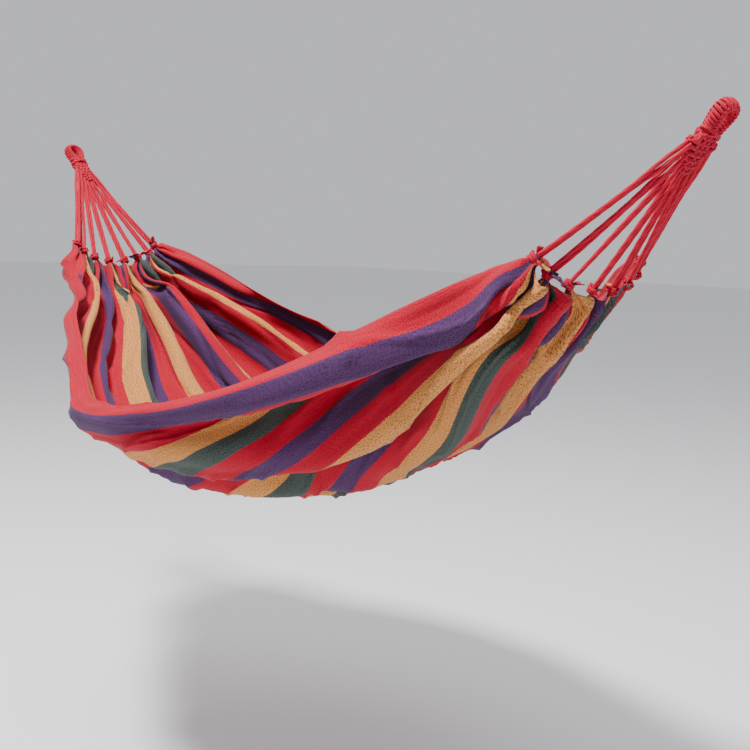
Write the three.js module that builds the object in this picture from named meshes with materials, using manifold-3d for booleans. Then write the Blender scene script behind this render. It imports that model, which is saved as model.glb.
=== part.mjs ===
// Striped canvas hammock, hung by two rope eyes.
//
// One sheet of woven cotton is gathered into eight tabs at each end. A knot is tied round every tab, and eight
// doubled cords run from the knots to a woven clew, a whipped neck and a wrapped rope eye.
// Units are millimetres and +Z is up. The origin is the seat of the left eye, where it bears on its hook, and the
// seat of the right eye is straight along +X. The hammock is the same on both sides of the plane Y = 0.

import * as THREE from "three";
import { mergeVertices } from "three/addons/utils/BufferGeometryUtils.js";
import Module from "manifold-3d";

const wasm = await Module();
wasm.setup();

// Hanging shape
const SPAN = 2150; // between the seats of the two eyes
const TABS = 8; // gathered tabs, and doubled cords, at each end
const MIDDLE_HALF_WIDTH = 559;
const MIDDLE_RIM_Z = -593;
const MIDDLE_BOTTOM_Z = -853;
const WIDTH_POWER = 1.17; // how the width, the rim and the bottom run from the ends to the middle
const RIM_POWER = 1.06;
const BOTTOM_POWER = 0.82;

// Each end: how steeply the clew leaves the eye, and where the row of knots lies from the seat of that eye
const LEFT = { name: "left", seatX: 0, inward: 1, slope: 47, reach: 261, drop: 283, halfWidth: 142, dip: 62, bow: 0 };
const RIGHT = {
  name: "right", seatX: SPAN, inward: -1, slope: 52, reach: 236, drop: 265, halfWidth: 194, dip: 76, bow: 36,
};

// Fabric
const FABRIC_THICKNESS = 3; // of the gathered cloth
const SCALLOP_DEPTH = 46; // the hem falls back this far between two tabs
const TAB_COLUMNS = [0, 0.415, 0.8]; // across one tab, as shares of its width up to the next
const HEM_ROWS = [0, 0.02, 0.045, 0.08, 0.12]; // along the bed, closer together near the hems
const MIDDLE_ROWS = 11;
const GATHER_LENGTH = 0.12; // share of the bed over which the gathers open out
const NECK_RADIUS = 6; // of the bunched cloth in a knot
const NECK_LENGTH = 32;
const NECK_ROOT = 10; // part of that inside the tab

// Rope
const GAP = 0.3; // between pieces that touch
const CORD_RADIUS = 6; // of one doubled cord taken as a round bar
const CORD_SIDES = 8;
const CORD_STEPS = 8;
const CORD_PITCH = 6.5; // between cords where they leave the clew, in two layers
const CORD_LAYER = 6.8; // of each layer from the middle of the clew
const KNOT_RADIUS = 11;
const KNOT_LENGTH = 20;
const KNOT_SIDES = 8;
const KNOT_BORE = 12.3; // depth of the space for the bunched cloth
const KNOT_SETBACK = 10; // from the tip of the tab

// Eye, with distances measured from its seat along the slope of the clew
const CORE_RADIUS = 6;
const SERVING_RADIUS = 10; // to the middle of a flat of its outer surface
const EYE_SIDES = 10;
const EYE_STEPS = 27; // odd, so that one flat lies across the crown
const LEG_OFFSET = 10.5; // of each leg of the loop from its middle, at the neck
const LEG_LENGTH = 64;
const NECK_PLANE = 32; // the loop ends and the whipping begins this far along X from the seat
const WHIPPING_WIDTH = 43;
const WHIPPING_THICKNESS = 23;
const WHIPPING_TOP = 30;
const WHIPPING_END = 68;
const CLEW_END = 135;
const CLEW_NECK_WIDTH = 42;
const CLEW_WIDTH = 64;
const CLEW_THICKNESS = 28;

const RED = 0xd2354d;
const materials = {
  canvas: () => new THREE.MeshStandardMaterial({ color: 0xc8324a, roughness: 0.9, metalness: 0 }),
  cord: () => new THREE.MeshStandardMaterial({ color: RED, roughness: 0.85, metalness: 0 }),
  serving: () => new THREE.MeshStandardMaterial({ color: 0xda3f58, roughness: 0.85, metalness: 0 }),
};

const hammock = new THREE.Group();

function addPiece(name, geometry, material, parent = hammock) {
  const piece = new THREE.Mesh(geometry, material);
  piece.name = name;
  parent.add(piece);
  return piece;
}

const mix = (a, b, share) => a + (b - a) * share;

function smoothStep(share) {
  const x = THREE.MathUtils.clamp(share, 0, 1);
  return x * x * (3 - 2 * x);
}

// ---- joining and cutting

function toSolid(geometry) {
  const bare = geometry.clone();
  bare.deleteAttribute("normal");
  bare.deleteAttribute("uv");
  const merged = mergeVertices(bare, 1e-4);
  return new wasm.Manifold(new wasm.Mesh({
    numProp: 3,
    vertProperties: new Float32Array(merged.attributes.position.array),
    triVerts: new Uint32Array(merged.index.array),
  }));
}

function toGeometry(solid) {
  const mesh = solid.getMesh();
  const geometry = new THREE.BufferGeometry();
  geometry.setAttribute("position", new THREE.BufferAttribute(mesh.vertProperties, 3));
  geometry.setIndex(new THREE.BufferAttribute(mesh.triVerts, 1));
  geometry.computeVertexNormals();
  return geometry;
}

// ---- the line of knots and the bed between them

// Where the cloth's middle surface is: along is 0 at the left knots and 1 at the right ones, across runs from -1 at
// the near rim to 1 at the far rim, and pullLeft and pullRight move a hem inward.
function bedPoint(along, across, pullLeft = 0, pullRight = 0) {
  const belly = Math.sin(Math.PI * along);
  const angle = across * Math.PI / 2;
  const endWidth = mix(LEFT.halfWidth, RIGHT.halfWidth, along);
  const endRim = -mix(LEFT.drop, RIGHT.drop, along);
  const endBottom = endRim - mix(LEFT.dip, RIGHT.dip, along);
  const halfWidth = mix(endWidth, MIDDLE_HALF_WIDTH, belly ** WIDTH_POWER);
  const rim = mix(endRim, MIDDLE_RIM_Z, belly ** RIM_POWER);
  const bottom = mix(endBottom, MIDDLE_BOTTOM_Z, belly ** BOTTOM_POWER);
  const leftX = LEFT.reach + LEFT.bow * Math.sin(angle) ** 2 + pullLeft;
  const rightX = SPAN - RIGHT.reach - RIGHT.bow * Math.sin(angle) ** 2 - pullRight;
  return new THREE.Vector3(
    mix(leftX, rightX, along),
    halfWidth * Math.sin(angle),
    mix(rim, bottom, Math.cos(angle)),
  );
}

const tabCentre = (index) => (2 * index + 1) / TABS - 1;

// ---- ends: eye, whipping, clew, cords and knots

// The frame of one end has its origin at the seat, +X down the slope towards the bed, +Y as the hammock's +Y for the
// left end, and +Z out of the upper face of the clew.
function endGroup(end) {
  const group = new THREE.Group();
  const slope = THREE.MathUtils.degToRad(end.slope);
  const down = new THREE.Vector3(end.inward * Math.cos(slope), 0, -Math.sin(slope));
  const side = new THREE.Vector3(0, end.inward, 0);
  const out = new THREE.Vector3().crossVectors(down, side);
  group.matrixAutoUpdate = false;
  group.matrix.makeBasis(down, side, out);
  group.matrix.setPosition(end.seatX, 0, 0);
  group.updateMatrixWorld(true);
  hammock.add(group);
  return group;
}

function ringShape(radius, bore = 0) {
  const corner = (r, i) => {
    const angle = 2 * Math.PI * i / EYE_SIDES;
    return new THREE.Vector2(r * Math.cos(angle), r * Math.sin(angle));
  };
  const outline = (r) => Array.from({ length: EYE_SIDES }, (_, i) => corner(r / Math.cos(Math.PI / EYE_SIDES), i));
  const shape = new THREE.Shape(outline(radius));
  if (bore > 0) {
    shape.holes.push(new THREE.Path(outline(bore).reverse()));
  }
  return shape;
}

// The middle line of the loop: two legs side by side in the neck, which open out and meet over the crown.
function eyeLine() {
  const half = [
    [LEG_LENGTH, LEG_OFFSET],
    [48, LEG_OFFSET + 0.3],
    [36, 14.5],
    [22, 20.5],
    [8, 22.5],
    [-4, 16.5],
  ];
  const points = half.map(([along, aside]) => new THREE.Vector3(along, -aside, 0));
  points.push(new THREE.Vector3(-SERVING_RADIUS, 0, 0));
  points.push(...half.reverse().map(([along, aside]) => new THREE.Vector3(along, aside, 0)));
  return new THREE.CatmullRomCurve3(points, false, "centripetal");
}

// How far the flat across the crown lies from the seat before the loop is moved onto it
function crownError(line) {
  const step = (EYE_STEPS - 1) / 2;
  const crown = line.getSpacedPoints(EYE_STEPS)[step];
  const lean = Math.abs(line.computeFrenetFrames(EYE_STEPS).tangents[step].y);
  return crown.x + SERVING_RADIUS * lean;
}

// The part of an end's geometry on one side of the plane across X where the loop gives way to the whipping
function cutAtNeck(geometry, group, end, eyeSide) {
  const size = 400;
  const inEnd = group.matrixWorld.clone().invert();
  const box = new THREE.BoxGeometry(size, size, size);
  const offset = eyeSide ? NECK_PLANE - GAP / 2 - size / 2 : NECK_PLANE + GAP / 2 + size / 2;
  box.translate(end.seatX + end.inward * offset, 0, 0);
  box.applyMatrix4(inEnd);
  return toGeometry(toSolid(geometry).intersect(toSolid(box)));
}

function addEye(end, group) {
  const line = eyeLine();
  const shift = crownError(line);
  const loop = (shape) => {
    const geometry = new THREE.ExtrudeGeometry(shape, { steps: EYE_STEPS, extrudePath: line });
    geometry.translate(-shift, 0, 0);
    return cutAtNeck(geometry, group, end, true);
  };
  addPiece(`${end.name}_eye_core`, loop(ringShape(CORE_RADIUS)), materials.cord(), group);
  addPiece(`${end.name}_eye_serving`, loop(ringShape(SERVING_RADIUS, CORE_RADIUS + GAP)), materials.serving(), group);
}

// A bar along the slope with a flat section whose edges are round
function roundedBar(width, thickness, from, to) {
  const radius = thickness / 2;
  const shape = new THREE.Shape();
  shape.absarc(0, width / 2 - radius, radius, 0, Math.PI, false);
  shape.absarc(0, -width / 2 + radius, radius, Math.PI, 2 * Math.PI, false);
  const geometry = new THREE.ExtrudeGeometry(shape, { depth: to - from, bevelEnabled: false, curveSegments: 8 });
  geometry.rotateY(Math.PI / 2);
  geometry.translate(from, 0, 0);
  return geometry;
}

function addNeck(end, group) {
  const whipping = roundedBar(WHIPPING_WIDTH, WHIPPING_THICKNESS, WHIPPING_TOP, WHIPPING_END);
  const name = `${end.name}_neck_whipping`;
  addPiece(name, cutAtNeck(whipping, group, end, false), materials.serving(), group);

  const outline = new THREE.Shape([
    new THREE.Vector2(WHIPPING_END + GAP, -CLEW_NECK_WIDTH / 2),
    new THREE.Vector2(WHIPPING_END + 30, -CLEW_WIDTH / 2 + 3),
    new THREE.Vector2(CLEW_END - 15, -CLEW_WIDTH / 2),
    new THREE.Vector2(CLEW_END, -CLEW_WIDTH / 2),
    new THREE.Vector2(CLEW_END, CLEW_WIDTH / 2),
    new THREE.Vector2(CLEW_END - 15, CLEW_WIDTH / 2),
    new THREE.Vector2(WHIPPING_END + 30, CLEW_WIDTH / 2 - 3),
    new THREE.Vector2(WHIPPING_END + GAP, CLEW_NECK_WIDTH / 2),
  ]);
  const clew = new THREE.ExtrudeGeometry(outline, { depth: CLEW_THICKNESS, bevelEnabled: false });
  clew.translate(0, 0, -CLEW_THICKNESS / 2);
  addPiece(`${end.name}_clew_weave`, clew, materials.serving(), group);
}

// Where one cord leaves the clew, and the tip and direction of its tab, all in the hammock's frame
function cordEnds(end, group, index) {
  const layer = index % 2 === 0 ? CORD_LAYER : -CORD_LAYER;
  const aside = (index - (TABS - 1) / 2) * CORD_PITCH * end.inward;
  const exit = new THREE.Vector3(CLEW_END + GAP, aside, layer).applyMatrix4(group.matrixWorld);
  const tip = bedPoint(end === LEFT ? 0 : 1, tabCentre(index));
  const direction = exit.clone().sub(tip).normalize();
  return { exit, tip, direction };
}

function turnedTo(geometry, direction, position) {
  const turn = new THREE.Quaternion().setFromUnitVectors(new THREE.Vector3(0, 1, 0), direction);
  geometry.applyQuaternion(turn);
  geometry.translate(position.x, position.y, position.z);
  return geometry;
}

// A knot is a round cap that stands for the turns of cord round the bunched cloth.
function knotGeometry(tip, direction) {
  const profile = [
    [0, KNOT_LENGTH],
    [0.6 * KNOT_RADIUS, KNOT_LENGTH],
    [KNOT_RADIUS, 0.7 * KNOT_LENGTH],
    [KNOT_RADIUS, 0.3 * KNOT_LENGTH],
    [0.75 * KNOT_RADIUS, 0],
    [NECK_RADIUS + GAP, 0],
    [NECK_RADIUS + GAP, KNOT_BORE],
    [0, KNOT_BORE],
  ].reverse().map(([radius, height]) => new THREE.Vector2(radius, height));
  const geometry = new THREE.LatheGeometry(profile, KNOT_SIDES);
  return turnedTo(geometry, direction, tip.clone().addScaledVector(direction, KNOT_SETBACK));
}

function cordGeometry(end, exit, tip, direction) {
  const slope = THREE.MathUtils.degToRad(end.slope);
  const down = new THREE.Vector3(end.inward * Math.cos(slope), 0, -Math.sin(slope));
  const foot = tip.clone().addScaledVector(direction, KNOT_SETBACK + KNOT_LENGTH + GAP);
  const line = new THREE.CubicBezierCurve3(
    exit,
    exit.clone().addScaledVector(down, 22),
    foot.clone().addScaledVector(direction, 60),
    foot,
  );
  const corners = Array.from({ length: CORD_SIDES }, (_, i) => {
    const angle = 2 * Math.PI * (i + 0.5) / CORD_SIDES;
    return new THREE.Vector2(CORD_RADIUS * Math.cos(angle), CORD_RADIUS * Math.sin(angle));
  });
  return new THREE.ExtrudeGeometry(new THREE.Shape(corners), { steps: CORD_STEPS, extrudePath: line });
}

function addEnd(end) {
  const group = endGroup(end);
  addEye(end, group);
  addNeck(end, group);
  for (let index = 0; index < TABS; index += 1) {
    const { exit, tip, direction } = cordEnds(end, group, index);
    addPiece(`${end.name}_cord_${index + 1}`, cordGeometry(end, exit, tip, direction), materials.cord());
    addPiece(`${end.name}_knot_${index + 1}`, knotGeometry(tip, direction), materials.cord());
  }
  return group;
}

// ---- the cloth

// Rows along the bed and columns across it, each column with its place in its own tab: 0 at the edge, 0.5 in the middle
function bedGrid() {
  const rows = [...HEM_ROWS];
  for (let i = 1; i < MIDDLE_ROWS; i += 1) {
    rows.push(mix(HEM_ROWS.at(-1), 1 - HEM_ROWS.at(-1), i / MIDDLE_ROWS));
  }
  rows.push(...HEM_ROWS.map((row) => 1 - row).reverse());
  const columns = [];
  for (let tab = 0; tab < TABS; tab += 1) {
    const places = [TAB_COLUMNS[0], 1 - TAB_COLUMNS[2], TAB_COLUMNS[1], 1 - TAB_COLUMNS[1], TAB_COLUMNS[2]];
    columns.push(...places.map((place) => ({ tab, place })));
  }
  columns.push({ tab: TABS - 1, place: 1 });
  return { rows, columns };
}

// Cloth between two tabs falls back from the knots, and the rest of each tab narrows towards its knot.
function gatheredPoint(along, { tab, place }) {
  const fromMiddle = 2 * place - 1;
  const open = smoothStep(Math.min(along, 1 - along) / GATHER_LENGTH);
  const edge = Math.abs(fromMiddle);
  const narrowed = fromMiddle * mix(0.45 + 0.55 * edge ** 3, 1, open);
  const fall = SCALLOP_DEPTH * smoothStep((edge - 0.1) / 0.9);
  return bedPoint(along, tabCentre(tab) + narrowed / TABS, fall, fall);
}

function bedGeometry(ends) {
  const { rows, columns } = bedGrid();
  const middle = rows.map((row) => columns.map((column) => gatheredPoint(row, column)));
  const wide = columns.length;
  const at = (i, j) => middle[THREE.MathUtils.clamp(i, 0, rows.length - 1)][THREE.MathUtils.clamp(j, 0, wide - 1)];
  const positions = [];
  for (const side of [0.5, -0.5]) {
    for (let i = 0; i < rows.length; i += 1) {
      for (let j = 0; j < wide; j += 1) {
        const lengthwise = at(i + 1, j).clone().sub(at(i - 1, j));
        const crosswise = at(i, j + 1).clone().sub(at(i, j - 1));
        const normal = lengthwise.cross(crosswise).normalize();
        const point = at(i, j).clone().addScaledVector(normal, side * FABRIC_THICKNESS);
        positions.push(point.x, point.y, point.z);
      }
    }
  }
  const upper = (i, j) => i * wide + j;
  const lower = (i, j) => rows.length * wide + upper(i, j);
  const triangles = [];
  const addQuad = (a, b, c, d) => triangles.push(a, b, c, a, c, d);
  for (let i = 0; i + 1 < rows.length; i += 1) {
    for (let j = 0; j + 1 < wide; j += 1) {
      addQuad(upper(i, j), upper(i + 1, j), upper(i + 1, j + 1), upper(i, j + 1));
      addQuad(lower(i, j), lower(i, j + 1), lower(i + 1, j + 1), lower(i + 1, j));
    }
    addQuad(upper(i, 0), lower(i, 0), lower(i + 1, 0), upper(i + 1, 0));
    addQuad(upper(i, wide - 1), upper(i + 1, wide - 1), lower(i + 1, wide - 1), lower(i, wide - 1));
  }
  const last = rows.length - 1;
  for (let j = 0; j + 1 < wide; j += 1) {
    addQuad(upper(0, j), upper(0, j + 1), lower(0, j + 1), lower(0, j));
    addQuad(upper(last, j), lower(last, j), lower(last, j + 1), upper(last, j + 1));
  }
  const geometry = new THREE.BufferGeometry();
  geometry.setAttribute("position", new THREE.BufferAttribute(new Float32Array(positions), 3));
  geometry.setIndex(triangles);

  let solid = toSolid(geometry);
  for (const { end, group } of ends) {
    for (let index = 0; index < TABS; index += 1) {
      const { tip, direction } = cordEnds(end, group, index);
      const neck = new THREE.CylinderGeometry(NECK_RADIUS, NECK_RADIUS, NECK_LENGTH, KNOT_SIDES);
      const middleOfNeck = tip.clone().addScaledVector(direction, NECK_LENGTH / 2 - NECK_ROOT);
      solid = solid.add(toSolid(turnedTo(neck, direction, middleOfNeck)));
    }
  }
  return toGeometry(solid);
}

const ends = [LEFT, RIGHT].map((end) => ({ end, group: addEnd(end) }));
addPiece("fabric_bed", bedGeometry(ends), materials.canvas());

export default hammock;
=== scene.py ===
"""Striped canvas hammock hung by two rope eyes.

The cloth is one sheet, folded lengthwise by a sine-generated curve that roughly keeps its width, and drawn
into eight tabs at each end. The cords, knots, clews and eyes are swept strands of twisted cord. Everything
is in metres.
"""

import bpy
import numpy as np
from mathutils import Matrix, Vector


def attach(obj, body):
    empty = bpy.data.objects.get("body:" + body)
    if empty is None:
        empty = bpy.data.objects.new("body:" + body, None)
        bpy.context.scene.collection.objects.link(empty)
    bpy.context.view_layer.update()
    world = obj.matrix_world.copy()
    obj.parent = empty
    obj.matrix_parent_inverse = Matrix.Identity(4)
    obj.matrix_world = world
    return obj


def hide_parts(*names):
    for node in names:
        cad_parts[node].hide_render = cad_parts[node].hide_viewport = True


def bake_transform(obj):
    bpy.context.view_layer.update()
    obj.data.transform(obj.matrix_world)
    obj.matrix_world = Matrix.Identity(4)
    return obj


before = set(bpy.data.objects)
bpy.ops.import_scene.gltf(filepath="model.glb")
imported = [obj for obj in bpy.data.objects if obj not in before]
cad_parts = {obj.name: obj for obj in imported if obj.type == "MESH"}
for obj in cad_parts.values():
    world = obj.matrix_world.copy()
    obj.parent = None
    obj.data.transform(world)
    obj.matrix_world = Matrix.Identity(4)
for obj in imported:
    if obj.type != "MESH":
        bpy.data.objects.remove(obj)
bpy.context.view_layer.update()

# ---- driving dimensions, as in the CAD model

SPAN = 2.150
TABS = 8
MIDDLE_HALF_WIDTH = 0.559
MIDDLE_RIM_Z = -0.593
MIDDLE_BOTTOM_Z = -0.853
WIDTH_POWER = 1.17
RIM_POWER = 1.06
BOTTOM_POWER = 0.82
LEFT = dict(name="left", seat=0.0, inward=1, slope=47, reach=0.261, drop=0.283)
LEFT.update(half=0.142, dip=0.062, bow=0.0)
RIGHT = dict(name="right", seat=SPAN, inward=-1, slope=52, reach=0.236, drop=0.265)
RIGHT.update(half=0.194, dip=0.076, bow=0.036)
LEFT["tongue"] = 0.019
RIGHT["tongue"] = 0.038
CLEW_END = 0.135
KNOT_SETBACK = 0.010
KNOT_LENGTH = 0.020

# ---- the cloth and the cord

CLOTH_WIDTH = 1.5
CLOTH_LENGTH = 2.0
STRIPE = CLOTH_WIDTH / 28
STRAND = 0.0085
PLIES = 3
GROOVE = 0.12


# ---- small helpers


def mix(a, b, share):
    return a + (b - a) * share


def smooth(share):
    x = np.clip(share, 0, 1)
    return x * x * (3 - 2 * x)


def unit(v):
    return v / np.maximum(np.linalg.norm(v, axis=-1, keepdims=True), 1e-12)


def lattice(u, v, seed):
    """Smooth random values from -1 to 1 over u and v, one new value at each whole number."""
    rng = np.random.default_rng(seed)
    table = rng.uniform(-1, 1, (64, 64))
    i, j = np.floor(u).astype(int), np.floor(v).astype(int)
    a, b = smooth(u - i), smooth(v - j)

    def at(di, dj):
        return table[(i + di) % 64, (j + dj) % 64]

    return mix(mix(at(0, 0), at(1, 0), a), mix(at(0, 1), at(1, 1), a), b)


# ---- the bed's surface and the ends, as in the CAD model


def bed_point(along, across):
    belly = np.sin(np.pi * np.clip(along, 0, 1))
    angle = across * np.pi / 2
    rim_end = -mix(LEFT["drop"], RIGHT["drop"], along)
    half = mix(mix(LEFT["half"], RIGHT["half"], along), MIDDLE_HALF_WIDTH, belly**WIDTH_POWER)
    rim = mix(rim_end, MIDDLE_RIM_Z, belly**RIM_POWER)
    low = mix(rim_end - mix(LEFT["dip"], RIGHT["dip"], along), MIDDLE_BOTTOM_Z, belly**BOTTOM_POWER)
    left = LEFT["reach"] + LEFT["bow"] * np.sin(angle) ** 2
    right = SPAN - RIGHT["reach"] - RIGHT["bow"] * np.sin(angle) ** 2
    return np.stack([mix(left, right, along), half * np.sin(angle), mix(rim, low, np.cos(angle))], axis=-1)


def end_frame(end):
    """The seat, and the directions down the slope, to the side and out of the clew's upper face."""
    slope = np.radians(end["slope"])
    seat = np.array([end["seat"], 0.0, 0.0])
    down = np.array([end["inward"] * np.cos(slope), 0.0, -np.sin(slope)])
    side = np.array([0.0, 1.0, 0.0])
    out = np.cross(down, side) * end["inward"]
    return seat, down, side, out


def tab_centre(index):
    return (2 * index + 1) / TABS - 1


def tab_tip(end, index):
    return bed_point(np.array(0.0 if end is LEFT else 1.0), np.array(tab_centre(index)))


def clew_exit(end, index):
    seat, down, side, out = end_frame(end)
    layer = 0.0068 if index % 2 == 0 else -0.0068
    return seat + down * (CLEW_END + 0.0003) + side * (index - 3.5) * 0.0065 + out * layer


def tab_direction(end, index):
    return unit(clew_exit(end, index) - tab_tip(end, index))


# ---- meshes


def add_mesh(name, points, faces, values=None, flat=None, smooth_faces=True):
    """A new object, with a value per point called depth and a place on the flat cloth called flat."""
    mesh = bpy.data.meshes.new(name)
    mesh.from_pydata(np.asarray(points, float).tolist(), [], [list(f) for f in faces])
    mesh.update()
    if values is not None:
        layer = mesh.attributes.new("depth", "FLOAT", "POINT")
        layer.data.foreach_set("value", np.asarray(values, np.float32))
    if flat is not None:
        layer = mesh.attributes.new("flat", "FLOAT_VECTOR", "POINT")
        layer.data.foreach_set("vector", np.asarray(flat, np.float32).ravel())
    if smooth_faces:
        mesh.polygons.foreach_set("use_smooth", [True] * len(mesh.polygons))
    obj = bpy.data.objects.new(name, mesh)
    bpy.context.scene.collection.objects.link(obj)
    return obj


def resample(line, step):
    line = np.asarray(line, float)
    run = np.concatenate([[0], np.cumsum(np.linalg.norm(np.diff(line, axis=0), axis=1))])
    count = max(3, int(round(run[-1] / step)) + 1)
    at = np.linspace(0, run[-1], count)
    return np.stack([np.interp(at, run, line[:, k]) for k in range(3)], axis=1)


def curve_through(points, count):
    """A smooth line through the points, by centripetal Catmull-Rom."""
    p = np.asarray(points, float)
    p = np.concatenate([[2 * p[0] - p[1]], p, [2 * p[-1] - p[-2]]])
    knots = np.concatenate([[0], np.cumsum(np.sqrt(np.linalg.norm(np.diff(p, axis=0), axis=1)))])
    out = []
    for t in np.linspace(knots[1], knots[-2], count):
        i = min(max(np.searchsorted(knots, t, side="right") - 1, 1), len(p) - 3)
        k, q = knots[i - 1 : i + 3], p[i - 1 : i + 3]
        a = [mix(q[n], q[n + 1], (t - k[n]) / (k[n + 1] - k[n])) for n in range(3)]
        b = [mix(a[n], a[n + 1], (t - k[n]) / (k[n + 2] - k[n])) for n in range(2)]
        out.append(mix(b[0], b[1], (t - k[1]) / (k[2] - k[1])))
    return np.array(out)


def bezier(a, b, c, d, count):
    t = np.linspace(0, 1, count)[:, None]
    return (1 - t) ** 3 * a + 3 * t * (1 - t) ** 2 * b + 3 * t * t * (1 - t) * c + t**3 * d


def frames_along(line):
    """Tangents and two steady cross directions along a line."""
    tangent = unit(np.gradient(line, axis=0))
    first = np.eye(3)[np.argmin(np.abs(tangent[0]))]
    across = unit(first - tangent[0] * (first @ tangent[0]))
    rows = [across]
    for t in tangent[1:]:
        across = unit(rows[-1] - t * (rows[-1] @ t))
        rows.append(across)
    across = np.array(rows)
    return tangent, across, np.cross(tangent, across)


class Strands:
    """Twisted cords in one mesh. Depth is 1 on the crown of a ply and 0 in the groove between two."""

    def __init__(self):
        self.points, self.faces, self.depth, self.count = [], [], [], 0

    def add(self, line, diameter=STRAND, pitch=0.060, sides=15, start=0.0, taper=None):
        line = np.asarray(line, float)
        tangent, across, other = frames_along(line)
        run = np.concatenate([[0], np.cumsum(np.linalg.norm(np.diff(line, axis=0), axis=1))])
        angle = np.arange(sides) * 2 * np.pi / sides
        crown = np.abs(np.cos(PLIES * angle / 2)) ** 0.8
        radius = diameter / 2 * (1 - GROOVE + GROOVE * crown)
        twist = start + 2 * np.pi * run / pitch
        size = np.ones(len(line)) if taper is None else np.asarray(taper)
        turned = angle[None, :] + twist[:, None]
        ring = (radius[None, :, None] * size[:, None, None]) * (
            np.cos(turned)[..., None] * across[:, None] + np.sin(turned)[..., None] * other[:, None]
        )
        points = line[:, None] + ring
        n = len(line)
        for i in range(n - 1):
            for j in range(sides):
                k = (j + 1) % sides
                near, far = self.count + i * sides, self.count + (i + 1) * sides
                self.faces.append([near + j, near + k, far + k, far + j])
        self.faces.append([self.count + j for j in reversed(range(sides))])
        self.faces.append([self.count + (n - 1) * sides + j for j in range(sides)])
        self.points.append(points.reshape(-1, 3))
        self.depth.append(np.tile(crown, n))
        self.count += n * sides

    def build(self, name):
        return add_mesh(name, np.concatenate(self.points), self.faces, values=np.concatenate(self.depth))


# ---- materials


class Graph:
    """A short way to write a material's nodes."""

    def __init__(self, name):
        self.material = bpy.data.materials.new(name)
        self.material.use_nodes = True
        self.nodes = self.material.node_tree.nodes
        self.links = self.material.node_tree.links
        self.nodes.clear()
        self.output = self.nodes.new("ShaderNodeOutputMaterial")
        self.shader = self.nodes.new("ShaderNodeBsdfPrincipled")
        self.links.new(self.shader.outputs[0], self.output.inputs[0])

    def put(self, socket, value):
        if isinstance(value, bpy.types.NodeSocket):
            self.links.new(value, socket)
        else:
            socket.default_value = value

    def math(self, operation, a, b=0.0, c=0.0):
        made = self.nodes.new("ShaderNodeMath")
        made.operation = operation
        for socket, value in zip(made.inputs, (a, b, c)):
            self.put(socket, value)
        return made.outputs[0]

    def blend(self, share, a, b, kind="MIX"):
        made = self.nodes.new("ShaderNodeMix")
        made.data_type = "RGBA"
        made.blend_type = kind
        self.put(made.inputs[0], share)
        self.put(made.inputs[6], a)
        self.put(made.inputs[7], b)
        return made.outputs[2]

    def noise(self, vector, scale, detail=2.0, rough=0.5):
        made = self.nodes.new("ShaderNodeTexNoise")
        self.put(made.inputs["Vector"], vector)
        self.put(made.inputs["Scale"], scale)
        self.put(made.inputs["Detail"], detail)
        self.put(made.inputs["Roughness"], rough)
        return made.outputs["Fac"]

    def scaled(self, vector, x, y, z=1.0):
        made = self.nodes.new("ShaderNodeVectorMath")
        made.operation = "MULTIPLY"
        self.put(made.inputs[0], vector)
        made.inputs[1].default_value = (x, y, z)
        return made.outputs[0]

    def bump(self, height, strength, distance):
        made = self.nodes.new("ShaderNodeBump")
        made.inputs["Strength"].default_value = strength
        made.inputs["Distance"].default_value = distance
        self.put(made.inputs["Height"], height)
        self.links.new(made.outputs[0], self.shader.inputs["Normal"])

    def attribute(self, name, output):
        made = self.nodes.new("ShaderNodeAttribute")
        made.attribute_name = name
        return made.outputs[output]


def srgb(text):
    values = [int(text[i : i + 2], 16) / 255 for i in (0, 2, 4)]
    return tuple(v / 12.92 if v <= 0.04045 else ((v + 0.055) / 1.055) ** 2.4 for v in values) + (1.0,)


RED, PURPLE, TAN, GREEN = srgb("B80829"), srgb("52305C"), srgb("D8944E"), srgb("46524C")
RED_DARK, PURPLE_DARK, TAN_DARK, GREEN_DARK = srgb("5C0212"), srgb("1C0D28"), srgb("804828"), srgb("121816")


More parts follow.
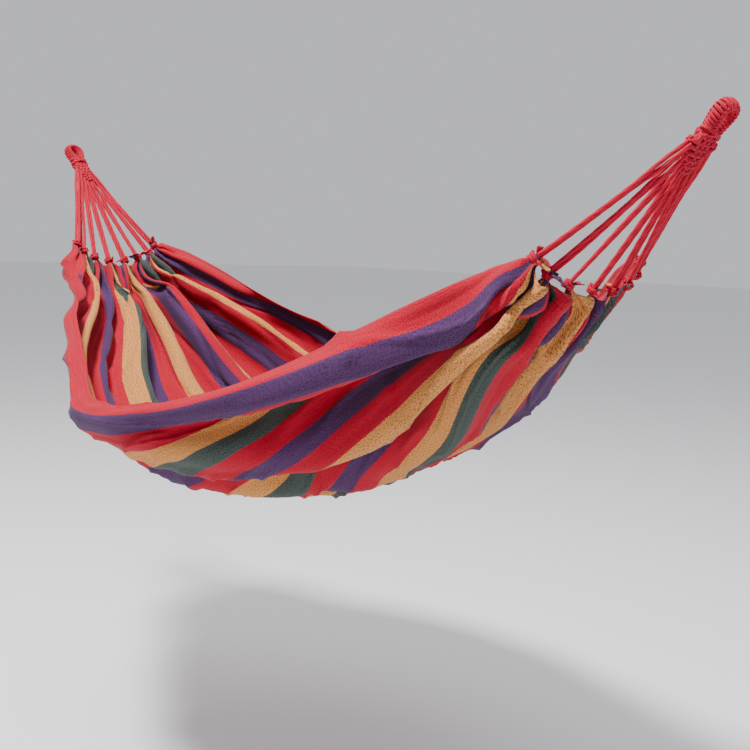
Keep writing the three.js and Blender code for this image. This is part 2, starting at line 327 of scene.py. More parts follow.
def canvas_material():
    """Plain weave in lengthwise stripes, with a speckled weft, faded lint, a stitched hem all round and
    painted shade along the stitch furrows.
    """
    g = Graph("striped_canvas")
    flat = g.attribute("flat", "Vector")
    split = g.nodes.new("ShaderNodeSeparateXYZ")
    g.links.new(flat, split.inputs[0])
    across, along = split.outputs[0], split.outputs[1]

    wander = g.math("MULTIPLY", g.math("SUBTRACT", g.noise(g.scaled(flat, 30, 260), 1.0), 0.5), 0.0016)
    place = g.math("FRACT", g.math("DIVIDE", g.math("ADD", across, wander), 5 * STRIPE))

    def stripes(colours, name):
        ramp = g.nodes.new("ShaderNodeValToRGB")
        ramp.label = name
        ramp.color_ramp.interpolation = "CONSTANT"
        elements = ramp.color_ramp.elements
        elements[0].position, elements[0].color = 0.0, colours[0]
        elements[1].position, elements[1].color = 0.2, colours[1]
        for i in (2, 3, 4):
            elements.new(0.2 * i).color = colours[i]
        g.links.new(place, ramp.inputs[0])
        return ramp.outputs[0]

    base = stripes([RED, PURPLE, RED, TAN, GREEN], "warp")
    # The darker copies give the weft flecks and streaks, and also the painted shade in the stitch furrows.
    dark = stripes([RED_DARK, PURPLE_DARK, RED_DARK, TAN_DARK, GREEN_DARK], "weft")
    mottled = stripes([(share, share, share, 1) for share in (0.62, 0.75, 0.62, 1.0, 0.8)], "mottle")

    slub = g.noise(g.scaled(flat, 250, 560), 1.0, 2.0, 0.6)
    fleck = g.math("MULTIPLY", g.math("MAXIMUM", g.math("SUBTRACT", slub, 0.46), 0.0), 7.0)
    fleck = g.math("MINIMUM", fleck, 1.0)
    cloth = g.blend(g.math("MULTIPLY", fleck, mottled), base, dark)
    streak = g.noise(g.scaled(flat, 420, 5), 1.0, 2.0)
    cloth = g.blend(g.math("MULTIPLY", g.math("SUBTRACT", streak, 0.30), 0.55), cloth, dark)
    fade = g.noise(g.scaled(flat, 9, 7), 1.0, 3.0, 0.6)
    pale = g.blend(1.0, cloth, (0.030, 0.020, 0.022, 1), "ADD")
    cloth = g.blend(g.math("MULTIPLY", fade, 0.25), cloth, pale)

    edge_b = g.math("MINIMUM", across, g.math("SUBTRACT", CLOTH_WIDTH, across))
    edge_a = g.math("MINIMUM", along, g.math("SUBTRACT", CLOTH_LENGTH, along))

    def stitches(edge, run, inset):
        off = g.math("ABSOLUTE", g.math("SUBTRACT", edge, inset))
        line = g.math("LESS_THAN", off, 0.0006)
        dash = g.math("LESS_THAN", g.math("FRACT", g.math("DIVIDE", run, 0.0042)), 0.68)
        furrow = g.math("SUBTRACT", 1.0, g.math("MINIMUM", g.math("DIVIDE", off, 0.0022), 1.0))
        return g.math("MULTIPLY", line, dash), furrow

    sewn_b, furrow_b = stitches(edge_b, along, 0.011)
    sewn_a, furrow_a = stitches(edge_a, across, 0.016)
    sewn = g.math("MAXIMUM", sewn_a, sewn_b)
    furrow = g.math("MAXIMUM", furrow_a, furrow_b)
    # Painted shade: the cloth darkens towards the dark stripe colours in the furrows beside the stitching.
    cloth = g.blend(g.math("MULTIPLY", furrow, 0.35), cloth, dark)
    cloth = g.blend(g.math("MULTIPLY", sewn, 0.5), cloth, srgb("C8304A"))
    g.links.new(cloth, g.shader.inputs["Base Color"])

    yarn = 2 * np.pi / 0.0022
    warp = g.math("SINE", g.math("MULTIPLY", across, yarn))
    weft = g.math("SINE", g.math("MULTIPLY", along, yarn))
    weave = g.math("MULTIPLY", warp, weft)
    height = g.math("ADD", g.math("MULTIPLY", weave, 0.35), g.math("MULTIPLY", slub, 1.2))
    from_end = g.math("EXPONENT", g.math("MULTIPLY", edge_a, -5.0))
    pleats = g.math("MULTIPLY", g.noise(g.scaled(flat, 95, 4), 1.0, 1.0), g.math("MULTIPLY", from_end, 9.0))
    rumples = g.math("MULTIPLY", g.noise(g.scaled(flat, 38, 11), 1.0, 2.0), 4.0)
    height = g.math("ADD", height, g.math("ADD", pleats, rumples))
    height = g.math("ADD", height, g.math("MULTIPLY", furrow, -2.2))
    height = g.math("ADD", height, g.math("MULTIPLY", sewn, 1.4))
    g.bump(height, 0.55, 0.0007)
    g.shader.inputs["Roughness"].default_value = 0.88
    g.shader.inputs["Specular IOR Level"].default_value = 0.15
    g.shader.inputs["Sheen Weight"].default_value = 0.08
    g.shader.inputs["Sheen Roughness"].default_value = 0.45
    return g.material


def cord_material(name, crown, groove, fuzz):
    """Soft twisted cotton with painted shade: darker between the plies, lighter and fuzzier on their
    crowns.
    """
    g = Graph(name)
    coordinates = g.nodes.new("ShaderNodeTexCoord").outputs["Object"]
    depth = g.attribute("depth", "Fac")
    lint = g.noise(coordinates, 900.0, 3.0, 0.65)
    tone = g.noise(coordinates, 38.0, 3.0, 0.6)
    rib = g.noise(coordinates, 420.0, 2.0)
    # Painted shade: the colour goes from the crown colour to the darker groove colour between the plies.
    colour = g.blend(g.math("POWER", depth, 0.7), groove, crown)
    colour = g.blend(g.math("MULTIPLY", tone, 0.45), colour, groove)
    loose = g.math("MAXIMUM", g.math("SUBTRACT", lint, 0.5), 0.0)
    colour = g.blend(g.math("MULTIPLY", loose, 1.5), colour, fuzz)
    g.links.new(colour, g.shader.inputs["Base Color"])
    height = g.math("ADD", g.math("MULTIPLY", lint, 0.5), g.math("MULTIPLY", rib, 0.8))
    g.bump(height, 0.6, 0.0008)
    g.shader.inputs["Roughness"].default_value = 0.85
    g.shader.inputs["Specular IOR Level"].default_value = 0.15
    g.shader.inputs["Sheen Weight"].default_value = 0.12
    g.shader.inputs["Sheen Roughness"].default_value = 0.4
    return g.material


CANVAS = canvas_material()
# The second colour of each cord is the painted shade between its plies.
CORD = cord_material("red_cord", srgb("C40C30"), srgb("74061A"), srgb("EC4462"))
SERVED = cord_material("served_rope", srgb("C81034"), srgb("640618"), srgb("EC4C68"))


# ---- the camera comes first, then the cords

CAMERA_AT = (3.067, -1.776, -0.249)
CAMERA_YAW = 0.774
CAMERA_PITCH = -0.120
CAMERA_ROLL = 0.035
CAMERA_LENS = 52.45


def make_camera():
    level_share = np.cos(CAMERA_PITCH)
    ahead = (-np.sin(CAMERA_YAW) * level_share, np.cos(CAMERA_YAW) * level_share, np.sin(CAMERA_PITCH))
    forward = Vector(ahead)
    level = Vector((np.cos(CAMERA_YAW), np.sin(CAMERA_YAW), 0))
    upright = level.cross(forward)
    right = level * np.cos(CAMERA_ROLL) + upright * np.sin(CAMERA_ROLL)
    up = -level * np.sin(CAMERA_ROLL) + upright * np.cos(CAMERA_ROLL)
    data = bpy.data.cameras.new("camera")
    data.lens = CAMERA_LENS
    data.sensor_width = 36
    camera = bpy.data.objects.new("camera", data)
    turn = Matrix((right, up, -forward)).transposed().to_4x4()
    camera.matrix_world = Matrix.Translation(CAMERA_AT) @ turn
    bpy.context.scene.collection.objects.link(camera)
    bpy.context.scene.camera = camera


make_camera()


# ---- cords


def cord_exit(end, index):
    """How far down the slope and how far aside a cord leaves the woven tongue, the outer ones first."""
    outer = abs(index - 3.5) - 0.5
    aside = np.sign(index - 3.5) * (0.0045 + (end["tongue"] - 0.0065) / 3 * outer)
    return CLEW_END - 0.006 - 0.0185 * outer, aside


def cord_line(end, index):
    """The middle line of one doubled cord, from the clew to its knot."""
    seat, down, side, out = end_frame(end)
    along, aside = cord_exit(end, index)
    exit_point = seat + down * along + side * aside
    direction = tab_direction(end, index)
    foot = tab_tip(end, index) + direction * (KNOT_SETBACK + KNOT_LENGTH * 0.8)
    sag = np.array([0, 0, -0.002 * ((index * 5) % 3)])
    leaving = mix(down, unit(foot - exit_point), 0.85)
    return bezier(exit_point, exit_point + leaving * 0.03, foot + direction * 0.06 + sag, foot, 60)


def cord_piece(end, index):
    line = resample(cord_line(end, index), 0.0022)
    seat, down, side, out = end_frame(end)
    tangent = unit(np.gradient(line, axis=0))
    flat = unit(side - tangent * (tangent @ side)[:, None])
    lift = unit(np.cross(tangent, flat))
    share = np.linspace(0, 1, len(line))
    lean = np.pi / 2 * (1 - smooth(share / 0.4)) + 0.5 * np.sin(index * 2.1) * smooth((share - 0.35) / 0.6)
    aside = np.cos(lean)[:, None] * flat + np.sin(lean)[:, None] * lift
    rope = Strands()
    wave = 0.0006 * np.sin(share[:, None] * 9 + index)
    for half in (-1, 1):
        rope.add(line + aside * half * (STRAND * 0.49 + wave), start=index + half, pitch=0.085)
    piece = rope.build(f"{end['name']}_doubled_cord_{index + 1}")
    piece.data.materials.append(CORD)
    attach(piece, "bed")
    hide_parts(f"{end['name']}_cord_{index + 1}")


for end in (LEFT, RIGHT):
    for i in range(TABS):
        cord_piece(end, i)


# ---- knots


def knot_piece(end, index):
    """Turns of cord round the bunched cloth, a crossing turn and two stub tails."""
    rng = np.random.default_rng(100 + index + (50 if end is RIGHT else 0))
    direction = tab_direction(end, index)
    middle = tab_tip(end, index) + direction * (KNOT_SETBACK + KNOT_LENGTH * 0.5)
    side = unit(np.array([0, 1.0, 0]) - direction * direction[1])
    out = np.cross(direction, side)
    out = out if out[2] > 0 else -out
    width = 0.0068
    rope = Strands()

    def around(turns, radius, start, low, high, squash=0.92):
        t = np.linspace(0, 1, int(26 * turns))
        angle = start + 2 * np.pi * turns * t
        ring = np.cos(angle)[:, None] * side * radius + np.sin(angle)[:, None] * out * radius * squash
        return middle + ring + direction * mix(low, high, t)[:, None]

    first = rng.uniform(0, 2 * np.pi)
    rope.add(around(2.1, 0.0082, first, -0.0062, 0.0066), diameter=width, pitch=0.03, sides=12)
    rope.add(around(1.1, 0.0098, first + 1.3, 0.0062, -0.0050, 1.0), diameter=width, pitch=0.03, sides=12)
    for turn, reach in ((rng.uniform(-0.7, 0.7), 0.011), (rng.uniform(2.2, 3.6), 0.006)):
        away = np.cos(turn + 1.2) * side + np.sin(turn + 1.2) * out
        start = middle + away * 0.008
        bend = unit(0.6 * away + direction)
        end_point = start + bend * reach
        line = bezier(start, start + away * 0.004, start + bend * reach * 0.7, end_point, 14)
        taper = np.concatenate([np.ones(10), [1.05, 1.12, 1.1, 0.6]])
        rope.add(line, diameter=width * 0.9, pitch=0.03, sides=12, taper=taper)
    piece = rope.build(f"{end['name']}_wrapped_knot_{index + 1}")
    piece.data.materials.append(CORD)
    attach(piece, "bed")
    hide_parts(f"{end['name']}_knot_{index + 1}")


for end in (LEFT, RIGHT):
    for i in range(TABS):
        knot_piece(end, i)


# ---- clews: eight pairs of strands woven over and under seven passes of weft


def tongue_half_width(end, v):
    """Half the woven tongue's width: widest under the neck, narrowing as cords leave it on both sides."""
    return np.interp(v, [0.045, 0.060, 0.076, 0.130], [0.016, end["tongue"], end["tongue"], 0.0085])


def clew_piece(end):
    seat, down, side, out = end_frame(end)
    rope = Strands()
    passes = 7
    first, last = 0.050, CLEW_END - 0.006
    for index in range(TABS):
        leave_at, leave_side = cord_exit(end, index)
        runs = np.linspace(first, leave_at, 40)
        share = (runs - first) / (last - first)
        slot = (index - 3.5) / 3.5
        spreading = ((runs - first) / (leave_at - first)) ** 0.8
        aside = mix(slot * tongue_half_width(end, first), leave_side, spreading)
        shed = 1 if index % 2 == 0 else -1
        for twin in (-1, 1):
            lift = 0.0034 * twin + 0.0054 * shed * np.cos(np.pi * passes * share)
            place = aside + twin * 0.0012
            line = seat + runs[:, None] * down + place[:, None] * side + lift[:, None] * out
            rope.add(line, diameter=0.0092, pitch=0.06, sides=12, start=index)
    for n in range(passes):
        at = mix(first + 0.004, last - 0.004, n / (passes - 1))
        wide = float(tongue_half_width(end, at)) - 0.0005
        t = np.linspace(-1, 1, 70)
        turns = wide / 0.0084
        lift = -0.0084 * np.cos(t * turns * np.pi) * (1 if n % 2 == 0 else -1)
        bow = 0.004 * (1 - t * t)
        level = seat + (at + bow)[:, None] * down + (t * wide)[:, None] * side
        for sign in (-1, 1):
            rope.add(level + (sign * lift)[:, None] * out, diameter=0.0080, pitch=0.05, sides=10, start=n)
    piece = rope.build(f"{end['name']}_woven_clew")
    piece.data.materials.append(SERVED)
    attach(piece, "bed")
    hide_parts(f"{end['name']}_clew_weave")


# ---- the eye: a bundle of cord in a loop, wound with a serving, and a whipping round its neck

# Half of the loop, from the neck to near the crown: places down the slope and to the side.
LOOP = (
    (0.056, 0.0100),
    (0.046, 0.0104),
    (0.038, 0.0120),
    (0.029, 0.0150),
    (0.019, 0.0180),
    (0.007, 0.0195),
    (-0.004, 0.0148),
)
CROWN_DOWN = -0.0105


def loop_line(end, count):
    points = [(a, -b) for a, b in LOOP] + [(CROWN_DOWN, 0.0)] + [(a, b) for a, b in reversed(LOOP)]
    seat, down, side, out = end_frame(end)
    at = [seat + down * a + side * b for a, b in points]
    return curve_through(at, count)


def eye_pieces(end):
    seat, down, side, out = end_frame(end)
    core = Strands()
    middle = loop_line(end, 110)
    tangent, across, other = frames_along(middle)
    for n in range(4):
        angle = n * np.pi / 2 + np.linspace(0, 4 * np.pi, len(middle))
        line = middle + 0.0030 * (np.cos(angle)[:, None] * across + np.sin(angle)[:, None] * other)
        core.add(line, diameter=0.0062, sides=10)
    bundle = core.build(f"{end['name']}_eye_bundle")
    bundle.data.materials.append(CORD)
    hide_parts(f"{end['name']}_eye_core")

    serving = Strands()
    dense = resample(middle, 0.0004)
    tangent = unit(np.gradient(dense, axis=0))
    inplane = np.cross(tangent, out)
    run = np.arange(len(dense)) * np.linalg.norm(np.diff(dense, axis=0), axis=1).mean()
    turns = 2 * np.pi * run / 0.0066
    high, wide = 0.0106, 0.0073
    winding = dense + (high * np.sin(turns))[:, None] * out + (wide * np.cos(turns))[:, None] * inplane
    serving.add(resample(winding, 0.0026), diameter=0.0068, sides=10)
    for lean in (-1, 1):
        angle = np.pi / 2 * lean + 0.35 * np.sin(turns)
        ridge = dense + (0.0132 * np.sin(angle))[:, None] * out
        ridge = ridge + (0.0100 * np.cos(angle))[:, None] * inplane
        serving.add(resample(ridge, 0.0020), diameter=0.0050, sides=10)
    wound = serving.build(f"{end['name']}_eye_winding")
    wound.data.materials.append(SERVED)
    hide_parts(f"{end['name']}_eye_serving")

    whipping = Strands()
    t = np.linspace(0, 1, 300)
    angle = 2 * np.pi * 2.6 * t
    at = mix(0.036, 0.052, t)
    wide = mix(0.0200, 0.0190, t)
    ring = (np.cos(angle) * wide)[:, None] * side + (np.sin(angle) * 0.0125)[:, None] * out
    whipping.add(seat + at[:, None] * down + ring, diameter=0.0074, sides=12)
    for lean in (0.9, -0.9):
        t = np.linspace(0, 2 * np.pi, 90)
        ring = (np.cos(t) * 0.0235)[:, None] * side + (np.sin(t) * 0.0155)[:, None] * out
        along = 0.048 + 0.009 * np.sin(t + lean)
        whipping.add(seat + along[:, None] * down + ring, diameter=0.0066, sides=12)
    turns = whipping.build(f"{end['name']}_neck_turns")
    turns.data.materials.append(SERVED)
    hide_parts(f"{end['name']}_neck_whipping")

    for piece in (bundle, wound, turns):
        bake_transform(piece)


for end in (LEFT, RIGHT):
    clew_piece(end)
    eye_pieces(end)


# ---- the cloth


def row_places():
    """Shares of the cloth's length, close together near both hems."""
    near = np.linspace(0, 0.075, 35)
    middle = np.linspace(0.075, 0.925, 82)[1:-1]
    return np.concatenate([near, middle, 1 - near[::-1]])


COLUMNS = 312
STATIONS = 110

# Where the cloth is tied, counted in stripes from the near rim: first the rim, then in turn a knot and the
# place halfway to the next knot, and last the far rim. The folds follow the same places, except that the
# right end has a free roll along the near rim.
LEFT["ties"] = (0, 1.0, 2.0, 3.3, 5.0, 6.8, 7.3, 9.0, 11.2, 13.9, 15.0, 17.1, 20.8, 23.0, 25.8, 27.2, 28)
RIGHT["ties"] = (0, 5.6, 8.5, 10.3, 15.6, 17.7, 18.7, 19.6, 21.8)
RIGHT["ties"] += (23.4, 24.3, 25.0, 25.7, 26.3, 26.9, 27.4, 28)
ROLL_PLACES = (0, 1.5, 2.3, 4.8)
ROLL_PHASES = (-0.05, 0, 0.25, 0.5)

# The rims roll inward: the cloth's direction, in radians, at places counted in stripes from the rim.
RIM_PLACES = (0, 0.50, 0.95, 1.2, 1.9)
RIM_TURNS = (-1.40, -1.35, -0.85, -0.20, 0.15)
RIM_CREST = 0.75

# The near rim drops to a soft corner. Each row: a share of the length, and how far the rim moves in and up.
RIM_SHIFTS = (
    (0, 0, 0),
    (0.05, 0, 0),
    (0.08, 0.008, 0.004),
    (0.12, 0.022, 0.01),
    (0.15, 0.008, 0.009),
    (0.2, -0.002, 0.008),
    (0.27, 0.02, 0.004),
    (0.34, 0.026, -0.004),
    (0.39, 0.014, -0.018),
    (0.43, 0.002, -0.027),
    (0.48, 0, -0.02),
    (0.56, 0, -0.01),
    (0.7, 0, -0.006),
    (0.8, 0, -0.002),
    (0.87, 0, 0.009),
    (0.93, 0, 0.01),
    (1.0, 0, 0.006),
)
RIM_SHIFT_PLACES, RIM_INWARD, RIM_RISE = zip(*RIM_SHIFTS)

# Places where the cloth hangs off the bed's even shape: the stripe, the share of the length, how far the
# push reaches in stripes and in shares of the length, and the push.
PUSHES = (
    (2.1, 0.39, 0.8, 0.040, (-0.010, -0.006, -0.018)),
    (1.7, 0.27, 0.8, 0.070, (0, 0.020, 0)),
    (4.3, 0.45, 1.5, 0.080, (0, 0.026, 0.012)),
    (7.5, 0.47, 2.0, 0.120, (0, 0, 0.002)),
    (12.0, 0.45, 3.0, 0.060, (0, 0, -0.008)),
    (18.0, 0.71, 3.0, 0.110, (-0.006, 0, 0.016)),
    (23.5, 0.95, 2.2, 0.050, (-0.012, -0.006, 0.006)),
    (28.0, 0.97, 2.0, 0.040, (-0.012, 0, 0.008)),
    (28.0, 0.08, 4.0, 0.110, (0, 0, 0.024)),
    (28.0, 0.32, 2.5, 0.140, (0, 0, 0.009)),
)
LEFT["scallop"] = -0.006
RIGHT["scallop"] = -0.008
LEFT["puff"] = (0.008,) * TABS
RIGHT["puff"] = (0.024, 0.024, 0.024, 0.020, 0.014, 0.004, 0, 0)
RUFFLE = 0.040
LEFT["spread"] = (1.0, 0.95, 0.95, 1.15, 1.30, 1.25, 0.95, 0.70)
RIGHT["spread"] = (1.10, 1.10, 1.05, 0.70, 1.20, 1.0, 1.0, 1.0)


def tab_phase(end, flat):
    """The tab's number and how far across the tab each thread is: 2.5 is the middle of the third tab."""
    return np.interp(flat, np.array(end["ties"]) * STRIPE, np.arange(2 * TABS + 1) / 2)


def fold_phase(end, flat):
    phase = tab_phase(end, flat)
    if end is LEFT:
        return phase
    roll = np.interp(flat, np.array(ROLL_PLACES) * STRIPE, ROLL_PHASES)
    return np.where(flat < end["ties"][1] * STRIPE, roll, phase)


def fold_tables():
    """For stations along the bed, where each lengthwise thread lies across it and how far it stands off it.

    At each station the cloth follows a curve whose direction swings from side to side. How far it swings is
    found for each tab, so that the cloth roughly keeps its width wherever the bed is narrower than it.
    """
    flat = np.linspace(0, CLOTH_WIDTH, COLUMNS)
    step = flat[1] - flat[0]
    at_left, at_right = fold_phase(LEFT, flat), fold_phase(RIGHT, flat)
    far_side = flat / CLOTH_WIDTH
    stations = np.linspace(0, 1, STATIONS)
    rng = np.random.default_rng(7)
    second = rng.uniform(-0.5, 0.5, TABS + 1)
    across_all, off_all = [], []
    swing_size = np.full(TABS, 1.2)
    for along in stations:
        line = bed_point(np.full(400, along), np.linspace(-1, 1, 400))
        run = np.concatenate([[0], np.cumsum(np.linalg.norm(np.diff(line, axis=0), axis=1))])
        from_hem = min(along, 1 - along) * CLOTH_LENGTH
        tight = np.exp(-((from_hem / 0.085) ** 2))
        middle = smooth((from_hem - 0.02) / 0.40)
        turn_over = smooth((along - 0.27 + 0.02 * far_side) / 0.56)
        phase = mix(at_left, at_right, turn_over)
        uneven = np.interp(phase, np.arange(TABS + 1), second)
        swing = np.sin(2 * np.pi * phase)
        swing = swing + uneven * np.sin(4 * np.pi * phase + 2.5 * along + 6 * uneven)
        swing = swing + 0.45 * middle * lattice(flat / 0.080, np.full_like(flat, along * 2.6), 21)
        swing = mix(swing, np.sin(6 * np.pi * phase + 0.5 * uneven), tight)
        bounds = np.interp(np.arange(TABS + 1), phase, flat)
        bounds[0], bounds[-1] = 0, CLOTH_WIDTH
        share = np.diff(bounds) * np.where(np.isin(np.arange(TABS), (0, TABS - 1)), 0.84, 1.0)
        share = share * mix(np.array(LEFT["spread"]), 1.0, smooth((along - 0.20) / 0.30))
        even = mix(np.array(RIGHT["spread"]), 1.0, smooth((1 - along - 0.02) / 0.30))
        share = mix(even / even.sum(), share / share.sum(), 0.9 * middle)
        target = np.concatenate([[0], np.cumsum(share)]) * run[-1]
        from_rim = np.minimum(flat, CLOTH_WIDTH - flat)
        rim_turn = np.interp(from_rim / STRIPE, RIM_PLACES, RIM_TURNS) * np.where(far_side < 0.5, 1, -1)
        rolled = smooth((from_hem - 0.10) / 0.30) * (1 - smooth((from_rim / STRIPE - 1.3) / 0.9))
        for _ in range(60 if along == 0 else 25):
            size = np.interp(phase, np.arange(TABS) + 0.5, swing_size)
            turn = mix(size * swing, rim_turn, rolled)
            sideways = np.concatenate([[0], np.cumsum((np.cos(turn[1:]) + np.cos(turn[:-1])) / 2 * step)])
            got = np.interp(bounds, flat, sideways)
            swing_size = swing_size + 1.1 * (np.diff(got) - np.diff(target)) / np.diff(bounds)
            swing_size = np.clip(swing_size, 0.0, 2.25)
        off = np.concatenate([[0], np.cumsum((np.sin(turn[1:]) + np.sin(turn[:-1])) / 2 * step)])
        sideways += np.interp(flat, bounds, target - got)
        held = np.clip(bounds, RIM_CREST * STRIPE, CLOTH_WIDTH - RIM_CREST * STRIPE)
        off -= np.interp(flat, bounds, np.interp(held, flat, off))
        middles = np.interp(np.arange(TABS) + 0.5, phase, flat)
        parts = [off[(phase >= k) & (phase <= k + 1)] for k in range(TABS)]
        means = [mix(part.mean(), part.min(), 0.6 * smooth(from_hem / 0.3)) for part in parts]
        off -= np.interp(flat, middles, means) * smooth((from_rim - 0.03) / 0.12)
        across_all.append(np.interp(sideways, run, np.linspace(-1, 1, 400)))
        off_all.append(off)
    return flat, stations, np.array(across_all), np.array(off_all)


def sample(table, stations, along):
    """A table's values at each point's own station, column by column."""
    at = np.clip(along, 0, 1) * (len(stations) - 1)
    i = np.clip(np.floor(at).astype(int), 0, len(stations) - 2)
    columns = np.broadcast_to(np.arange(table.shape[1]), along.shape)
    return mix(table[i, columns], table[i + 1, columns], at - i)


def bed_normal(along, across):
    d = 1e-3
    lengthwise = bed_point(np.clip(along + d, 0, 1), across) - bed_point(np.clip(along - d, 0, 1), across)
    crosswise = bed_point(along, across + d) - bed_point(along, across - d)
    return unit(np.cross(lengthwise, crosswise))


def hem_start(end, flat):
    """How far from the tab tip each thread starts: past the knot in a tab, short of it between two tabs."""
    phase = tab_phase(end, flat)
    edge = np.abs(2 * (phase % 1) - 1) * np.where((phase < 0.5) | (phase > TABS - 0.5), 0.55, 1.0)
    if end is RIGHT:
        edge = np.maximum(edge, 0.9 * np.exp(-(((flat / STRIPE - 1.7) / 0.6) ** 2)))
    rng = np.random.default_rng(31 if end is LEFT else 32)
    ragged = 0.004 * np.interp(flat, np.linspace(0, CLOTH_WIDTH, 120), rng.uniform(-1, 1, 120))
    reach = RUFFLE * mix(0.75, 1.15, rng.uniform(0, 1, TABS))[np.minimum(phase.astype(int), TABS - 1)]
    return -reach + ragged + (end["scallop"] + reach) * smooth((edge - 0.42) / 0.52)


def gather(points, near, flat, end):
    """Draw the threads of each tab together at its knot, and let them spread again on both sides."""
    station = 0.0 if end is LEFT else 1.0
    phase = tab_phase(end, flat)
    tab = np.minimum(phase.astype(int), TABS - 1)
    edge = np.abs(2 * (phase - tab) - 1)
    for index in range(TABS):
        own = tab == index
        z = near[:, own]
        centre = tab_centre(index)
        axis = tab_direction(end, index)
        at = np.clip(z, 0, None) / CLOTH_LENGTH
        at = at if end is LEFT else 1 - at
        base = bed_point(at, np.full_like(at, centre))
        puff = end["puff"][index] * edge[own][None, :] ** 2 * np.exp(-((z / 0.09) ** 2))
        relative = points[:, own] - base
        relative = relative - bed_normal(at, np.full_like(at, centre)) * puff[..., None]
        spine = base + axis * np.clip(-z, 0, None)[..., None]
        loose = edge[own][None, :]
        opening = smooth((z + 0.018) / (0.018 + 0.034 * (1 - loose)))
        knot = KNOT_SETBACK + KNOT_LENGTH / 2
        past = smooth((-z - knot - 0.004) / 0.018)
        share = mix(mix(0.26, 0.95, past), 1.0, opening)
        tilt = (1 if (index * 3 + (end is RIGHT)) % 2 else -1) * (0.7 + 0.3 * np.sin(index * 1.7))
        lean = bed_normal(np.array(station), np.array(centre)) * tilt
        spine = spine + lean * np.clip(-z - knot - 0.004, 0, None)[..., None]
        spine = spine - axis * 0.7 * np.clip(-z - knot - 0.006, 0, None)[..., None]
        drawn = spine + relative * share[..., None]
        weight = smooth((0.17 - z) / 0.06)[..., None]
        points[:, own] = mix(points[:, own], drawn, weight)


def cloth_points():
    flat, stations, across_table, off_table = fold_tables()
    rows = row_places()
    start, stop = hem_start(LEFT, flat), CLOTH_LENGTH - hem_start(RIGHT, flat)
    from_left = start[None, :] + rows[:, None] * (stop - start)[None, :]
    along = from_left / CLOTH_LENGTH
    across = sample(across_table, stations, along)
    off = sample(off_table, stations, along)
    inside = np.clip(along, 0, 1)
    points = bed_point(inside, across) + bed_normal(inside, across) * off[..., None]
    near_rim = np.exp(-((flat / 0.14) ** 2))[None, :]
    points[..., 1] += near_rim * np.interp(inside, RIM_SHIFT_PLACES, RIM_INWARD)
    points[..., 2] += near_rim * np.interp(inside, RIM_SHIFT_PLACES, RIM_RISE)
    for stripe, share, reach, run, push in PUSHES:
        crosswise = np.exp(-(((flat / STRIPE - stripe) / reach) ** 2))[None, :]
        hill = crosswise * np.exp(-(((inside - share) / run) ** 2))
        points += hill[..., None] * np.array(push)
    gather(points, from_left, flat, LEFT)
    gather(points, CLOTH_LENGTH - from_left, flat, RIGHT)
    return flat, rows, points


def surface_normals(points):
    return unit(np.cross(np.gradient(points, axis=0), np.gradient(points, axis=1)))


def crease(u, v, seed, width):
    """Narrow furrows where a smooth random field crosses zero."""
    return -np.clip(1 - np.abs(lattice(u, v, seed)) / width, 0, 1) ** 1.5


def wrinkled(points, flat, rows):
    b, a = np.meshgrid(flat, rows * CLOTH_LENGTH)
    from_end = np.minimum(a, CLOTH_LENGTH - a)
    calm = smooth((from_end - 0.02) / 0.10)
    pull = np.exp(-from_end / 0.45)
    height = 0.0042 * lattice(b / 0.050, a / 0.45, 3)
    height += 0.0024 * lattice((b + 0.20 * a) / 0.032, a / 0.18, 4)
    height += 0.0100 * crease((b - 0.10 * a) / 0.070, a / 0.36, 9, 0.16) * mix(0.6, 1.3, pull)
    height += 0.0085 * crease((b + 0.25 * a) / 0.085, a / 0.22, 10, 0.16)
    height += 0.0045 * pull * lattice(b / 0.017, a / 0.25, 11)
    height = height * calm
    height += 0.0032 * np.exp(-from_end / 0.05) * lattice(b / 0.015, a / 0.013, 8)
    return points + surface_normals(points) * height[..., None]


SIDE_HEM = 0.012
END_HEM = 0.018
HEM_THICKNESS = 0.0022
SINGLE_LAYER = 0.42


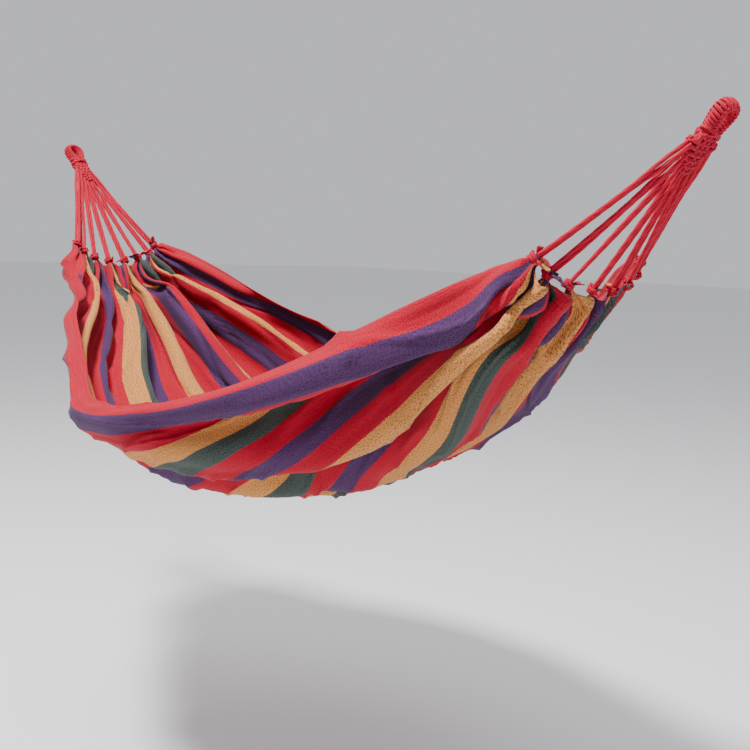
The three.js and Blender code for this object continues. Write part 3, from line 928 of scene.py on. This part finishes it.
def cloth_piece():
    flat, rows, points = cloth_points()
    points = wrinkled(points, flat, rows)
    tall, wide = points.shape[:2]
    index = np.arange(tall * wide).reshape(tall, wide)
    corners = [index[:-1, :-1], index[1:, :-1], index[1:, 1:], index[:-1, 1:]]
    faces = np.stack(corners, axis=-1).reshape(-1, 4)
    b, a = np.meshgrid(flat, rows * CLOTH_LENGTH)
    places = np.stack([b, a, np.zeros_like(a)], axis=-1).reshape(-1, 3)
    piece = add_mesh("striped_cloth", points.reshape(-1, 3), faces, flat=places)
    side_hem = np.minimum(b, CLOTH_WIDTH - b) / SIDE_HEM
    end_hem = np.minimum(a, CLOTH_LENGTH - a) / END_HEM
    hem = np.minimum(side_hem, end_hem).reshape(-1)
    group = piece.vertex_groups.new(name="hem")
    for weight, chosen in ((1.0, hem < 1.0), (SINGLE_LAYER, hem >= 1.0)):
        group.add(np.flatnonzero(chosen).tolist(), weight, "REPLACE")
    solid = piece.modifiers.new("cloth_thickness", "SOLIDIFY")
    solid.thickness = HEM_THICKNESS
    solid.offset = 0
    solid.vertex_group = "hem"
    piece.data.materials.append(CANVAS)
    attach(piece, "bed")
    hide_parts("fabric_bed")


cloth_piece()


# ---- floor and light

FLOOR_Z = -1.55
FLOOR_HALF = 40.0


def make_floor():
    corners = [(x * FLOOR_HALF, y * FLOOR_HALF, FLOOR_Z) for x, y in ((-1, -1), (1, -1), (1, 1), (-1, 1))]
    floor = add_mesh("floor", corners, [(0, 1, 2, 3)], smooth_faces=False)
    g = Graph("pale_floor")
    g.shader.inputs["Base Color"].default_value = (0.86, 0.86, 0.87, 1)
    g.shader.inputs["Roughness"].default_value = 0.9
    floor.data.materials.append(g.material)


def add_lamp(name, at, target, size, power):
    data = bpy.data.lights.new(name, "AREA")
    data.size = size
    data.energy = power
    lamp = bpy.data.objects.new(name, data)
    lamp.location = at
    lamp.rotation_euler = (Vector(target) - Vector(at)).to_track_quat("-Z", "Y").to_euler()
    bpy.context.scene.collection.objects.link(lamp)


def make_world():
    world = bpy.data.worlds.new("studio")
    world.use_nodes = True
    background = world.node_tree.nodes["Background"]
    background.inputs["Color"].default_value = (0.95, 0.96, 1.0, 1)
    background.inputs["Strength"].default_value = 0.66
    bpy.context.scene.world = world


make_floor()
make_world()
add_lamp("key", (1.5, -2.2, 4.1), (1.0, 0, -0.6), 0.9, 560)
add_lamp("sky", (0.2, 0.6, 3.4), (1.0, 0, -0.6), 2.4, 60)
add_lamp("fill", (-2.5, -2.5, 0.4), (0.8, 0, -0.6), 2.5, 20)

bpy.context.view_layer.update()
